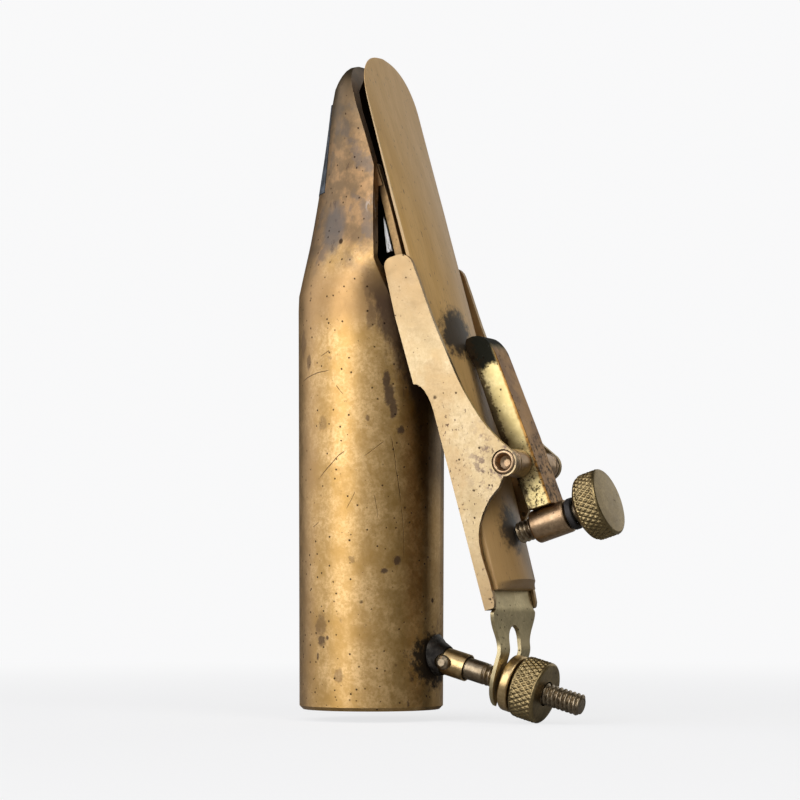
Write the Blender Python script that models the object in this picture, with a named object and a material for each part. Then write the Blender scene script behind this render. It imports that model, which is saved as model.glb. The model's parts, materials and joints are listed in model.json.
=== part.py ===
"""A metal saxophone mouthpiece with an adjustable reed carrier and a rocker-lever reed clamp.

The design is drawn in two frames, both in millimetres:
  bench  bore axis along +Z, shank end near z = 0, reed on the +X side
  reed   (t, y, s): t out of the reed table, y across it, s along it towards the tip
The mouthpiece stands on its shank, with the lowest point of the adjusting nut at z = 0.
"""

import math

import bpy
from mathutils import Matrix, Vector

MM = 0.001

# tube and beak, bench frame
TUBE_R_SHANK = 10.0
TUBE_R = 10.3
TUBE_TAPER_TOP = 40.0
SHOULDER_Z = 58.0
TIP_Z = 90.9
TIP_ROUND = 5.0
TIP_PLAN = 8.0
BEAK_NARROWS = 2.7
SECTION_BACK = 0.4
SHANK_Z = 0.4
BORE_R = 8.3
BORE_DEPTH = 43.0
CHAMBER_R = 7.6
WALL = 1.3
RIM_CHAMFER = 0.5

# bite plate on the roof of the beak
BITE_LOW_Z = 72.5
BITE_LENGTH = 12.3
BITE_HALF_ANGLE = math.radians(41)
BITE_THICK = 0.9

# reed table
TABLE_ANGLE = math.radians(15.0)
TABLE_DISTANCE = 24.6
ROOF_SLOPE = 0.19
LAY_START_S = 65.0
TIP_S = 86.9
TIP_OPENING = 2.0
LAY_POWER = 1.4
TABLE_LOW_S = 57.5
TABLE_TOP_S = 71.8
TABLE_HALF_WIDTH = 7.3
TABLE_THICK = 1.2
WINDOW_HALF_WIDTH = 5.7
WINDOW_LOW_S = 65.2
FACING_EDGE_T = -0.3

# clearance cut for the skirts: (s, half width of the rib left standing, depth)
TROUGH = ((44, 6.75, -3.1), (58.7, 6.75, -3.1), (60.5, 6.8, -2.6), (66, 7.2, -1.5), (71.5, 8.2, -0.3))

# silver fillets in the trough: (s, lowest t)
FILLETS = ((59.3, -2.35), (62, -2.0), (64.3, -1.6))
FILLET_INNER = 7.0
FILLET_OUTER = 7.35

# reed
REED_T = 0.6
REED_HEEL_S = 10.6
REED_TIP_S = 88.4
REED_HALF_TIP = 7.8
REED_HALF_HEEL = 6.1
REED_STRAIGHT_S = 66.0
REED_THICK = 2.75
REED_EDGE = 0.95
REED_NOSE = 7.9
HEEL_CUT = 0.9
HEEL_DROP = 1.6

# sheet metal of the reed carrier
SHEET = 0.7
WEB_THICK = 0.5
WEB_T = -0.85
PLATE_THICK = 0.55
PLATE_T = -0.15
CHANNEL_LOW_S = 8.2
CHANNEL_TOP_S = 58.2
SKIRT_T = -2.75
NOTCH_S = 34.0
NOTCH_TOP_S = 40.4
NOTCH_REACH = 4.4
EAR_R = 1.95
RIVETS_S = (12.5, 22.0, 31.0)
RIVET_R = 0.7
RIVET_HOLE_R = 0.9
REED_FIT = 0.25
FIT = 0.2

# the tail leans back below the channel, through these (s, t), and its front face stands
# TAIL_ALONG out on the stud; drops are across the stud, downwards
TAIL_ALONG = 10.7
TAIL_LEAN = ((7.7, 0.02), (5.7, -0.62), (4.1, -0.96))
TAIL_HALF_WIDTH = 4.8
TAIL_SLOT_HALF = 1.8
TAIL_SLOT_S = 4.2
PLATE_TOP_S = 56.8
PLATE_SHOULDER = 6.7
TAIL_DROPS = (-4.2, -2.6, 0.0, 1.8, 3.8)

# joints of the carrier and the clamp, reed frame
HINGE_T = -1.35
HINGE_S = 42.0
HINGE_R = 1.0
HINGE_PIN_R = 0.42
HINGE_HOLE_R = 0.6
PIVOT_T = 7.2
PIVOT_S = 26.5
SCREW_S = 17.85
SCREW_LEAN = math.radians(2.5)
SCREW_TIP_T = 3.6
SCREW_HEAD_T = 13.5
SCREW_R = 1.5
BOSS_T = 6.2

# clamp lever
LEVER_WIDTH = 4.6
LEVER_EYE_R = 2.25
LEVER_HOLE_R = 1.5
SPACER_R = 1.92

# adjusting stud, bench frame
STUD_X = 10.7
STUD_Z = 7.4
STUD_DROP = math.radians(15.8)
STUD_R = 1.5
STUD_LENGTH = 22.0
SOCKET_R = 1.87
SOCKET_LENGTH = 4.4
CROSS_PIN_ALONG = 1.55
COLLAR_ALONG = 11.0
COLLAR_R = 3.9
NUT_ALONG = 12.65
NUT_R = 4.24

# where the bench frame stands, so that the whole is centred over the origin
CENTRE_X = 13.5
NUT_LOW_Z = -1.12

BRASS_OLD = (0.32, 0.20, 0.08)
BRASS_BRIGHT = (0.62, 0.44, 0.20)
BRASS_YELLOW = (0.70, 0.56, 0.24)
BRASS_OLIVE = (0.30, 0.23, 0.12)
BRASS_COPPER = (0.40, 0.24, 0.13)
NICKEL_SILVER = (0.36, 0.34, 0.27)
SOLDER = (0.55, 0.54, 0.50)
CANE = (0.48, 0.33, 0.15)
SOOT = (0.03, 0.03, 0.03)


# ---------------------------------------------------------------- frames

REED = Matrix.Rotation(-TABLE_ANGLE, 4, "Y") @ Matrix.Translation((TABLE_DISTANCE, 0, 0))
BENCH = Matrix.Identity(4)

# the frame of each axis empty, in millimetres on the bench, by name
DRAWN_IN = {}


def channel_half_width(s):
    """Outer half width of the carrier's channel, which narrows towards the heel."""
    return reed_half_width(s) + REED_FIT + SHEET


def reed_half_width(s):
    run = (s - REED_HEEL_S) / (REED_STRAIGHT_S - REED_HEEL_S)
    width = REED_HALF_HEEL + (REED_HALF_TIP - REED_HALF_HEEL) * min(max(run, -0.1), 1.0)
    return width * nose(s, REED_TIP_S - REED_NOSE, REED_NOSE)


def nose(at, start, length, power=2.3):
    """1 up to start, then a round nose that closes to 0 at start + length."""
    run = min(max((at - start) / length, 0.0), 1.0)
    return max(1.0 - run**power, 0.0) ** (1.0 / power)


def axis_frame(centre, direction):
    """A frame at centre with local Z along direction, local Y kept across the reed."""
    z = Vector(direction).normalized()
    y = Vector((0, 1, 0))
    x = y.cross(z).normalized()
    turn = Matrix((x, y, z)).transposed().to_4x4()
    return Matrix.Translation(centre) @ turn


def stud_frame(along):
    """The stud's frame, along mm out from the tube."""
    out = Vector((math.cos(STUD_DROP), 0, -math.sin(STUD_DROP)))
    return axis_frame(Vector((STUD_X, 0, STUD_Z)) + out * along, out)


def screw_frame(t):
    """The clamp screw's frame, where its axis is t mm over the table."""
    lean = math.tan(SCREW_LEAN)
    centre = REED @ Vector((t, 0, SCREW_S + lean * (t - 5.0)))
    out = REED.to_3x3() @ Vector((1, 0, lean))
    return axis_frame(centre, out)


def add_axis(name, frame, parent):
    """An empty that stands on a joint's axis; its pieces hang from it."""
    axis = bpy.data.objects.new(name, None)
    axis.empty_display_size = 5 * MM
    bpy.context.scene.collection.objects.link(axis)
    axis.parent = parent
    local = frame.copy()
    local.translation *= MM
    axis.matrix_local = local
    DRAWN_IN[axis.name] = frame
    return axis


# ---------------------------------------------------------------- shapes


def make_material(name, colour, roughness, metallic=1.0):
    material = bpy.data.materials.new(name)
    material.use_nodes = True
    shader = material.node_tree.nodes["Principled BSDF"]
    shader.inputs["Base Color"].default_value = (*colour, 1)
    shader.inputs["Roughness"].default_value = roughness
    shader.inputs["Metallic"].default_value = metallic
    return material


def add_piece(name, shape, frame, axis, material=None, sharp=30.0):
    """One object from (points, faces), drawn in frame and hung from axis."""
    points, faces = shape
    to_local = DRAWN_IN[axis.name].inverted() @ frame
    mesh = bpy.data.meshes.new(name)
    mesh.from_pydata([to_local @ Vector(p) * MM for p in points], [], faces)
    mesh.validate()
    mesh.shade_smooth()
    mesh.set_sharp_from_angle(angle=math.radians(sharp))
    piece = bpy.data.objects.new(name, mesh)
    bpy.context.scene.collection.objects.link(piece)
    piece.parent = axis
    if material:
        mesh.materials.append(material)
    return piece


def boolean(piece, operation, shape, frame, axis):
    """Cuts shape from piece, or joins it on, with an exact Boolean."""
    count = sum(1 for m in piece.modifiers if m.type == "BOOLEAN")
    tool = add_piece(f"{piece.name}_tool_{count}", shape, frame, axis)
    tool.hide_render = True
    tool.display_type = "WIRE"
    modifier = piece.modifiers.new(f"{operation.lower()}_{count}", "BOOLEAN")
    modifier.operation = operation
    modifier.solver = "EXACT"
    modifier.object = tool
    return modifier


def cut(piece, shape, frame, axis):
    return boolean(piece, "DIFFERENCE", shape, frame, axis)


def join(piece, shape, frame, axis):
    return boolean(piece, "UNION", shape, frame, axis)


def loft(rings):
    """A closed solid through rings of equally many points, capped at both ends."""
    count = len(rings[0])
    points = [p for ring in rings for p in ring]
    faces = [list(range(count))[::-1]]
    for i in range(len(rings) - 1):
        low, high = i * count, (i + 1) * count
        for j in range(count):
            k = (j + 1) % count
            faces.append([low + j, low + k, high + k, high + j])
    last = (len(rings) - 1) * count
    faces.append([last + j for j in range(count)])
    return points, faces


def turned(profile, segments=32):
    """A solid turned about local Z from (radius, height) points, lowest end first.

    A profile that starts and ends on the axis is solid; any other is a closed ring.
    """
    solid = profile[0][0] == 0
    radii = profile[1:-1] if solid else profile
    points, faces = [], []
    for r, h in radii:
        for j in range(segments):
            a = 2 * math.pi * j / segments
            points.append((r * math.cos(a), r * math.sin(a), h))
    rows = len(radii)
    for i in range(rows - 1 if solid else rows):
        low, high = i * segments, (i + 1) % rows * segments
        for j in range(segments):
            k = (j + 1) % segments
            faces.append([low + j, low + k, high + k, high + j])
    if solid:
        faces.append(list(range(segments))[::-1])
        faces.append([(rows - 1) * segments + j for j in range(segments)])
    return points, faces


def tube(outer, inner, low, high, segments=32):
    """A plain tube about local Z."""
    return turned([(outer, low), (outer, high), (inner, high), (inner, low)], segments)


def rod(radius, low, high, chamfer=0.2, segments=32):
    """A plain rod about local Z with chamfered ends."""
    inner = radius - chamfer
    ends = [(0, low), (inner, low), (radius, low + chamfer)]
    return turned(ends + [(radius, high - chamfer), (inner, high), (0, high)], segments)


def prism(outline, low, high, along):
    """An outline given anticlockwise about +along, extruded along "t", "y" or "s".

    The outline's pairs are (y, s) for "t", (s, t) for "y" and (t, y) for "s".
    """
    rings = []
    for h in (low, high):
        if along == "t":
            rings.append([(h, a, b) for a, b in outline])
        elif along == "y":
            rings.append([(b, h, a) for a, b in outline])
        else:
            rings.append([(a, b, h) for a, b in outline])
    return loft(rings)


def arc(centre, radius, start, end, steps):
    """Points on an arc, angles in degrees."""
    angles = [math.radians(start + (end - start) * i / steps) for i in range(steps + 1)]
    return [(centre[0] + radius * math.cos(a), centre[1] + radius * math.sin(a)) for a in angles]


def smooth_path(points, steps=6):
    """A Catmull-Rom curve through a few points."""
    padded = [Vector(p) for p in (points[0], *points, points[-1])]
    out = []
    for a, b, c, d in zip(padded, padded[1:], padded[2:], padded[3:]):
        bend = 2 * a - 5 * b + 4 * c - d
        twist = 3 * b - a - 3 * c + d
        for i in range(steps):
            u = i / steps
            out.append(tuple(b + 0.5 * ((c - a) * u + bend * u**2 + twist * u**3)))
    return out + [points[-1]]


def smoothstep(low, high, value):
    u = min(max((value - low) / (high - low), 0.0), 1.0)
    return u * u * (3 - 2 * u)


# ---------------------------------------------------------------- mouthpiece body


def lay_t(s):
    """Height of the facing over the table: flat, then a curve that opens to the tip."""
    run = max(s - LAY_START_S, 0.0) / (TIP_S - LAY_START_S)
    return -TIP_OPENING * run**LAY_POWER


def facing_x(z):
    """The facing's X in the bench frame at height z."""
    s = z
    for _ in range(8):
        s = (z - (TABLE_DISTANCE + lay_t(s)) * math.sin(TABLE_ANGLE)) / math.cos(TABLE_ANGLE)
    return (TABLE_DISTANCE + lay_t(s)) * math.cos(TABLE_ANGLE) - s * math.sin(TABLE_ANGLE)


def body_section(z, inset, segments):
    """A ring round the outside at height z, or inset from it for the chamber."""
    rise = max(z + inset - SHOULDER_Z, 0.0)
    centre = facing_x(z) - SECTION_BACK
    centre *= smoothstep(SHOULDER_Z - 2, SHOULDER_Z + 12, z)
    close = nose(z + inset, TIP_Z - TIP_ROUND, TIP_ROUND, 2.0)
    roof = -TUBE_R + ROOF_SLOPE * rise
    depth = max((centre - roof) * close - inset, 0.05)
    half = TUBE_R - BEAK_NARROWS * smoothstep(0, 30, rise) ** 1.2
    half = max(half * nose(z + inset, TIP_Z - TIP_PLAN, TIP_PLAN) - inset, 0.05)
    front = max(min(TUBE_R - inset, half), 0.05)
    ring = []
    for j in range(segments):
        a = 2 * math.pi * j / segments
        c = math.cos(a)
        ring.append((centre + (front if c > 0 else depth) * c, half * math.sin(a), z))
    return ring


def plain_ring(radius, z, segments):
    angles = [2 * math.pi * j / segments for j in range(segments)]
    return [(radius * math.cos(a), radius * math.sin(a), z) for a in angles]


def body_outside(segments=56):
    rings = [plain_ring(TUBE_R_SHANK - RIM_CHAMFER, SHANK_Z, segments)]
    rings.append(plain_ring(TUBE_R_SHANK, SHANK_Z + RIM_CHAMFER, segments))
    rings.append(plain_ring(TUBE_R, TUBE_TAPER_TOP, segments))
    heights = [SHOULDER_Z + 2 * i for i in range(-2, 14)]
    heights += [TIP_Z - TIP_ROUND * (1 - i / 7) ** 1.8 for i in range(1, 8)]
    return loft(rings + [body_section(z, 0, segments) for z in heights])


def chamber_space(segments=48):
    """The tone chamber, open through the facing: it grows out past the facing at the front."""
    rings = []
    for i in range(17):
        z = BORE_DEPTH - 1 + (TIP_Z - 1.6 - BORE_DEPTH + 1) * i / 16
        ring = body_section(z, WALL, segments)
        if z < SHOULDER_Z + 2:
            ring = plain_ring(CHAMBER_R, z, segments)
        reach = 6.0 * smoothstep(SHOULDER_Z + 2, SHOULDER_Z + 8, z)
        centre = sum(p[0] for p in ring) / segments
        rings.append([(x + reach if x > centre else x, y, h) for x, y, h in ring])
    return loft(rings)


def facing_space():
    """Everything in front of the facing, as a prism across the body."""
    outline = [(40.0, FACING_EDGE_T)]
    steps = 12
    for i in range(steps + 1):
        s = LAY_START_S + (TIP_S + 3 - LAY_START_S) * i / steps
        outline.append((s, min(FACING_EDGE_T, lay_t(s))))
    outline += [(TIP_S + 3, 14.0), (40.0, 14.0)]
    return prism(outline, -14, 14, "y")


def seat_space():
    """The recess that the table plate is soldered into."""
    low, high = TABLE_LOW_S - 3, TABLE_TOP_S + FIT
    seat, half = -TABLE_THICK - FIT, TABLE_HALF_WIDTH + FIT
    return prism([(low, seat), (high, seat), (high, 2.0), (low, 2.0)], -half, half, "y")


def trough_space(side):
    """The clearance cut beside the table for one skirt of the carrier."""
    rings = []
    for s, floor, low in TROUGH:
        ring = [(low, floor * side), (low, 14 * side), (4, 14 * side), (4, floor * side)]
        ring = ring if side < 0 else ring[::-1]
        rings.append([(t, y, s) for t, y in ring])
    return loft(rings)


def bite_patch(grow, depth, segments=14):
    """A slab that follows the roof of the beak."""
    rings = []
    for i in range(9):
        z = BITE_LOW_Z - grow + (BITE_LENGTH + 2 * grow) * i / 8
        wide = BITE_HALF_ANGLE + grow / 9
        ring = []
        for inset, sweep in ((-0.02 - grow, -1), (depth, 1)):
            section = body_section(z, 0, 4)
            centre = facing_x(z) - SECTION_BACK
            roof, half = section[2][0] + inset, section[1][1] - inset
            for j in range(segments + 1):
                a = sweep * wide * (2 * j / segments - 1)
                ring.append((centre - (centre - roof) * math.cos(a), half * math.sin(a), z))
        rings.append(ring)
    return loft(rings)


def add_body(bench, material):
    body = add_piece("mouthpiece_body", body_outside(), BENCH, bench, material)
    cut(body, rod(BORE_R, -2, BORE_DEPTH, 0.6, 48), BENCH, bench)
    cut(body, chamber_space(), BENCH, bench)
    cut(body, facing_space(), REED, bench)
    cut(body, seat_space(), REED, bench)
    for side in (-1, 1):
        cut(body, trough_space(side), REED, bench)
    cut(body, bite_patch(FIT, BITE_THICK + FIT), BENCH, bench)
    return body


def add_table(bench, material):
    """The soldered table plate: a fork whose two arms are the side rails."""
    steps = 8
    run = TABLE_TOP_S - TABLE_LOW_S
    stations = [TABLE_LOW_S + run * i / steps for i in range(steps + 1)]
    top = [(s, lay_t(s)) for s in stations]
    outline = [(TABLE_TOP_S, -TABLE_THICK), *top[::-1], (TABLE_LOW_S, -TABLE_THICK)]
    shape = prism(outline, -TABLE_HALF_WIDTH, TABLE_HALF_WIDTH, "y")
    plate = add_piece("table_plate", shape, REED, bench, material)
    window = arc((0, WINDOW_LOW_S), WINDOW_HALF_WIDTH, 180, 360, 16) + [(6.3, 74), (-6.3, 74)]
    cut(plate, prism(window, -4, 3, "t"), REED, bench)
    return plate


def add_table_solder(bench, material):
    """The silver fillets under the overhang of the table plate."""
    for name, side in (("table_solder_near", -1), ("table_solder_far", 1)):
        rings = []
        for s, low in FILLETS:
            inner, outer = FILLET_INNER * side, FILLET_OUTER * side
            ring = [(low, inner), (low + 0.15, outer), (-1.4, outer), (-1.4, inner)]
            ring = ring if side < 0 else ring[::-1]
            rings.append([(t, y, s) for t, y in ring])
        add_piece(name, loft(rings), REED, bench, material)


def add_bite_plate(bench, material):
    return add_piece("bite_plate", bite_patch(0.0, BITE_THICK), BENCH, bench, material)


# ---------------------------------------------------------------- adjusting stud


def add_stud(bench, brass, dark, steel):
    root = stud_frame(0)
    pin = pin_frame()
    socket = add_piece("stud_socket", tube(SOCKET_R, STUD_R + FIT, -1.2, SOCKET_LENGTH), root, bench, brass)
    cut(socket, rod(TUBE_R + 0.15, -5, 30, 0.1, 64), BENCH, bench)
    cut(socket, rod(0.7, -3, 3, 0.05, 16), pin, bench)
    fillet = turned([(3.3, -1.4), (2.5, -0.2), (2.08, 1.0), (2.02, -1.4)], 24)
    solder = add_piece("socket_solder", fillet, root, bench, dark)
    cut(solder, rod(TUBE_R + 0.1, -5, 30, 0.1, 64), BENCH, bench)
    cut(solder, rod(1.25, -5, 5, 0.05, 20), pin, bench)
    stud = add_piece("adjusting_stud", rod(STUD_R, 0.1, STUD_LENGTH, 0.3), root, bench, brass)
    cut(stud, rod(0.7, -3, 3, 0.05, 16), pin, bench)
    dome = [(0, -2.4), (0.5, -2.4), (0.5, 1.95), (1.04, 2.05), (0.9, 2.45), (0.5, 2.75), (0, 2.85)]
    add_piece("stud_pin", turned(dome, 20), pin, bench, steel)


def pin_frame():
    """The cross pin through the socket: local Z towards the near side."""
    return stud_frame(CROSS_PIN_ALONG) @ Matrix.Rotation(math.radians(90), 4, "X")


def add_nut(bench, brass, knurled):
    bore = STUD_R + FIT
    collar_axis = add_axis("nut_travel_axis", stud_frame(COLLAR_ALONG), bench)
    collar = turned([(COLLAR_R, 0), (COLLAR_R, 1.45), (bore, 1.45), (bore, 0)], 36)
    add_piece("thrust_collar", collar, stud_frame(COLLAR_ALONG), collar_axis, brass)
    nut_axis = add_axis("nut_spin_axis", stud_frame(NUT_ALONG), bench)
    rim = NUT_R - 0.34
    outer = [(rim, 0), (NUT_R, 0.3), (NUT_R, 3.65), (rim, 3.95)]
    nut = turned(outer + [(bore, 3.95), (bore, 0)], 36)
    add_piece("knurled_nut", nut, stud_frame(NUT_ALONG), nut_axis, knurled)


# ---------------------------------------------------------------- reed carrier


def flange_outline():
    """Side view of a flange in (s, t): ear, skirt and notch, anticlockwise."""
    back, skirt = WEB_T, SKIRT_T
    low_edge = [(CHANNEL_LOW_S, 0.4), (8.9, 0.8), (12.0, 0.9), (15.5, 0.7), (18.3, 1.1), (20.4, 2.2)]
    rise = [(22.3, 3.9), (23.4, 5.6)]
    ear = arc((PIVOT_S, PIVOT_T), EAR_R, 195, 60, 12)
    slope = [(29.6, 7.35), (31.4, 6.35), (33.0, 5.6), (36.0, 4.6), (39.0, 3.85)]
    slope += [(43.5, 3.1), (48.5, 2.4), (53.5, 1.95)]
    top = arc((CHANNEL_TOP_S - 2.0, -0.35), 2.0, 85, 0, 5)
    top += arc((CHANNEL_TOP_S - 1.2, skirt + 1.3), 1.2, 0, -75, 4)
    notch = [(50.0, skirt - 0.15), (NOTCH_TOP_S, skirt)]
    for degrees in (15, 30, 45, 60, 75, 90):
        a = math.radians(degrees)
        notch.append((NOTCH_TOP_S - NOTCH_REACH * (1 - math.cos(a)), skirt + (back - skirt) * math.sin(a)))
    outline = smooth_path(low_edge + rise, 2) + ear + smooth_path(slope, 2) + top + notch
    outline += [(CHANNEL_LOW_S, back)]
    return outline[::-1]


def flange(side):
    """One flange: the outline laid on a plane that follows the channel's taper."""
    outline = flange_outline()
    rings = []
    for depth in (SHEET, 0.0) if side > 0 else (0.0, SHEET):
        rings.append([(t, side * (channel_half_width(s) - depth), s) for s, t in outline])
    return loft(rings)


def add_channel(axis, material):
    """The U channel that holds the reed: two flanges and, below the notch, a web."""
    channel = add_piece("reed_channel", flange(-1), REED, axis, material)
    join(channel, flange(1), REED, axis)
    ends = [(CHANNEL_LOW_S, 0.35), (NOTCH_S + 0.6, 0.35)]
    web = [(channel_half_width(s) - inset, s) for s, inset in ends]
    outline = [(-y, s) for y, s in web] + web[::-1]
    join(channel, prism(outline[::-1], WEB_T, WEB_T + WEB_THICK, "t"), REED, axis)
    for side in (-1, 1):
        cut(channel, rod(1.7, 5, 9, 0.05, 28), REED @ across(PIVOT_T, PIVOT_S, side), axis)
    for s in RIVETS_S:
        cut(channel, rod(RIVET_HOLE_R, -3, 3, 0.05, 16), REED @ outward(s), axis)
    return channel


def across(t, s, side):
    """A frame at (t, s) with local Z along side times Y."""
    return Matrix.Translation((t, 0, s)) @ Matrix.Rotation(math.radians(-90 * side), 4, "X")


def outward(s):
    """A frame on the table's centre line with local Z along t."""
    return Matrix.Translation((0, 0, s)) @ Matrix.Rotation(math.radians(90), 4, "Y")


def tail_path():
    """The base plate's middle line in (s, t): straight under the reed, then the bent tail."""
    middle = PLATE_T + PLATE_THICK / 2
    to_reed = REED.inverted()
    on_stud = stud_frame(TAIL_ALONG - PLATE_THICK / 2)
    bends = [to_reed @ on_stud @ Vector((drop, 0, 0)) for drop in TAIL_DROPS]
    straight = [(PLATE_TOP_S, middle), (33.0, middle), (8.4, middle), (8.15, middle)]
    return straight + smooth_path([*TAIL_LEAN, *[(p.z, p.x) for p in bends]], 4)


def plate_half_width(s):
    if s > 8.0:
        return channel_half_width(s) - SHEET - FIT
    end = tail_path()[-1][0]
    width = TAIL_HALF_WIDTH + (PLATE_SHOULDER - TAIL_HALF_WIDTH) * smoothstep(3.5, 7.5, s)
    return width * nose(-s, -end - 4.0, 4.0, 2.0)


def add_base_plate(axis, material):
    """The nickel silver plate under the reed, with its bent, slotted tail round the stud."""
    path = tail_path()
    rings = []
    for i, (s, t) in enumerate(path):
        a, b = path[max(i - 1, 0)], path[min(i + 1, len(path) - 1)]
        run = Vector((b[0] - a[0], b[1] - a[1])).normalized()
        half = max(plate_half_width(s), 0.9)
        ring = []
        for y, side in ((-half, -1), (half, -1), (half, 1), (-half, 1)):
            offset = side * PLATE_THICK / 2
            ring.append((t - offset * run.x, y, s + offset * run.y))
        rings.append(ring)
    plate = add_piece("base_plate", loft(rings), REED, axis, material)
    half = TAIL_SLOT_HALF
    slot = arc((0, TAIL_SLOT_S), half, 0, 180, 10)
    slot += [(-half, -4.6), (-half + 0.5, -5.3), (half - 0.5, -5.3), (half, -4.6)]
    cut(plate, prism(slot, -9, 3, "t"), REED, axis)
    for s in RIVETS_S:
        cut(plate, rod(RIVET_HOLE_R, -3, 3, 0.05, 16), REED @ outward(s), axis)
    return plate


def add_rivets(axis, material):
    head = [(0, -1.5), (0.9, -1.5), (1.3, -1.25), (1.3, -1.05)]
    profile = head + [(RIVET_R, -1.05), (RIVET_R, 0.3), (0, 0.3)]
    for number, s in enumerate(RIVETS_S, 1):
        add_piece(f"plate_rivet_{number}", turned(profile, 16), REED @ outward(s), axis, material)


def add_hinge(bench, axis, brass, steel):
    """The carrier's hinge: two lugs on the tube, a pin, and a knuckle under the base plate."""
    eye = REED @ across(HINGE_T, HINGE_S, 1)
    centre = REED @ Vector((HINGE_T, 0, HINGE_S))
    rise = centre.x + 0.4
    foot = [(centre.z - 2.2, 9.0), (centre.z + 2.2, 9.0), (centre.z + 0.6, rise), (centre.z - 0.6, rise)]
    for name, low, high in (("hinge_lug_near", -4.2, -2.25), ("hinge_lug_far", 2.25, 4.2)):
        lug = add_piece(name, rod(HINGE_R, low, high, 0.1, 20), eye, bench, brass)
        join(lug, prism(foot, low + 0.05, high - 0.05, "y"), BENCH, bench)
        cut(lug, rod(TUBE_R + 0.1, 30, 60, 0.05, 96), BENCH, bench)
        cut(lug, rod(HINGE_HOLE_R, -6, 6, 0.05, 16), eye, bench)
    add_piece("hinge_pin", rod(HINGE_PIN_R, -4.6, 4.6, 0.1, 16), eye, bench, steel)
    knuckle = add_piece("hinge_knuckle", rod(HINGE_R, -2.0, 2.0, 0.1, 20), eye, axis, brass)
    join(knuckle, knuckle_pad(), REED, axis)
    cut(knuckle, rod(HINGE_HOLE_R + 0.02, -6, 6, 0.05, 16), eye, axis)


def knuckle_pad():
    """The flat pad that joins the knuckle to the base plate."""
    high = PLATE_T - FIT
    low = high - 0.55
    outline = [(HINGE_S - 1.7, low), (HINGE_S + 1.7, low), (HINGE_S + 1.7, high), (HINGE_S - 1.7, high)]
    return prism(outline, -1.95, 1.95, "y")


def add_reed(axis, material):
    """The cane reed: flat below, crowned above, thinning along the vamp to a round tip."""
    stations = [REED_HEEL_S, REED_HEEL_S + HEEL_CUT, 30, 48, 54, 60, 66, 72, 77, 80.5]
    stations += [REED_TIP_S - REED_NOSE * (1 - i / 9) ** 1.7 for i in range(1, 10)]
    shape = loft([reed_ring(s)[::-1] for s in stations])
    return add_piece("reed", shape, REED, axis, material, 40.0)


def reed_ring(s, steps=12):
    """The reed's section at s; the heel is cut back at a slant."""
    crown = REED_THICK * (1 - 0.93 * smoothstep(44, 92, s))
    edge = REED_EDGE - 0.85 * smoothstep(30, 92, s)
    if s == REED_HEEL_S:
        crown -= HEEL_DROP
    half = max(reed_half_width(s), 0.1)
    ring = [(REED_T, -half, s), (REED_T, half, s)]
    for j in range(steps + 1):
        u = 1 - 2 * j / steps
        ring.append((REED_T + edge + (crown - edge) * (1 - u * u), half * u, s))
    return ring


def add_pivot_pin(axis, material):
    """The hollow pivot pin, flared where it sits in the ears."""
    ear = channel_half_width(PIVOT_S)
    half = [(1.3, 0), (1.3, ear - 1.0), (1.5, ear - 0.75), (1.5, ear + 0.05), (1.15, ear + 0.05)]
    inner = [(1.15, ear - 1.2), (0.8, ear - 1.3)]
    outer = [(r, -h) for r, h in half[:0:-1]] + half[1:]
    bore = inner + [(r, -h) for r, h in inner[::-1]]
    place = REED @ across(PIVOT_T, PIVOT_S, 1)
    return add_piece("pivot_pin", turned(outer + bore, 32), place, axis, material)


# ---------------------------------------------------------------- clamp lever and screw


def add_lever(axis, material):
    """The rocker lever: it bears on the reed with its nose and turns on the pivot pin."""
    outer = [(45.6, 5.2), (44.6, 6.6), (43.2, 7.4), (41.5, 7.75), (30.0, 9.25), (20.4, 10.25)]
    inner = [(20.4, 6.75), (23.0, 6.5), (33.3, 5.0), (40.6, 4.35), (43.4, 3.7), (44.7, 3.65), (45.3, 4.1)]
    outline = smooth_path(outer[:4], 4)[:-1] + outer[3:] + inner
    half = LEVER_WIDTH / 2
    lever = add_piece("clamp_lever", prism(outline, -half, half, "y"), REED, axis, material)
    pivot = REED @ across(PIVOT_T, PIVOT_S, 1)
    join(lever, rod(LEVER_EYE_R, -half + 0.02, half - 0.02, 0.1), pivot, axis)
    cut(lever, rod(LEVER_HOLE_R, -4, 4, 0.05), pivot, axis)
    return lever


def add_spacers(axis, material):
    """The barrel on each side of the lever that centres it between the ears."""
    low, high = LEVER_WIDTH / 2 + FIT, channel_half_width(PIVOT_S) - SHEET - 0.25
    barrel = tube(SPACER_R, LEVER_HOLE_R, low, high)
    for name, side in (("pivot_spacer_near", -1), ("pivot_spacer_far", 1)):
        add_piece(name, barrel, REED @ across(PIVOT_T, PIVOT_S, side), axis, material)


def add_boss(axis, brass, dark):
    """The threaded sleeve at the lever's end, and the dark washer on its outer face."""
    place = screw_frame(BOSS_T)
    boss = turned([(2.05, 0), (2.27, 0.22), (2.27, 5.2), (2.1, 5.35), (1.75, 5.35), (1.75, 0)])
    add_piece("screw_boss", boss, place, axis, brass)
    washer = turned([(2.2, 5.6), (2.2, 6.4), (1.75, 6.4), (1.75, 5.6)])
    add_piece("boss_washer", washer, place, axis, dark)


def add_screw(bench, brass, knurled):
    """The clamp screw, which slides, and its knurled head, which also turns."""
    tip = screw_frame(SCREW_TIP_T)
    travel = add_axis("clamp_screw_travel_axis", tip, bench)
    length = SCREW_HEAD_T - SCREW_TIP_T - FIT
    shank = turned([(0, 0), (0.55, 0), (1.2, 0.45), (SCREW_R, 0.8), (SCREW_R, length), (0, length)])
    add_piece("clamp_screw", shank, tip, travel, brass)
    under = screw_frame(SCREW_HEAD_T)
    spin = add_axis("clamp_screw_spin_axis", under, bench)
    head = [(0, 0), (3.3, 0), (4.35, 0.7), (4.63, 1.2), (4.63, 3.7), (4.35, 4.05), (2.2, 4.2), (0, 4.22)]
    add_piece("clamp_screw_head", turned(head, 40), under, spin, knurled)


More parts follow.
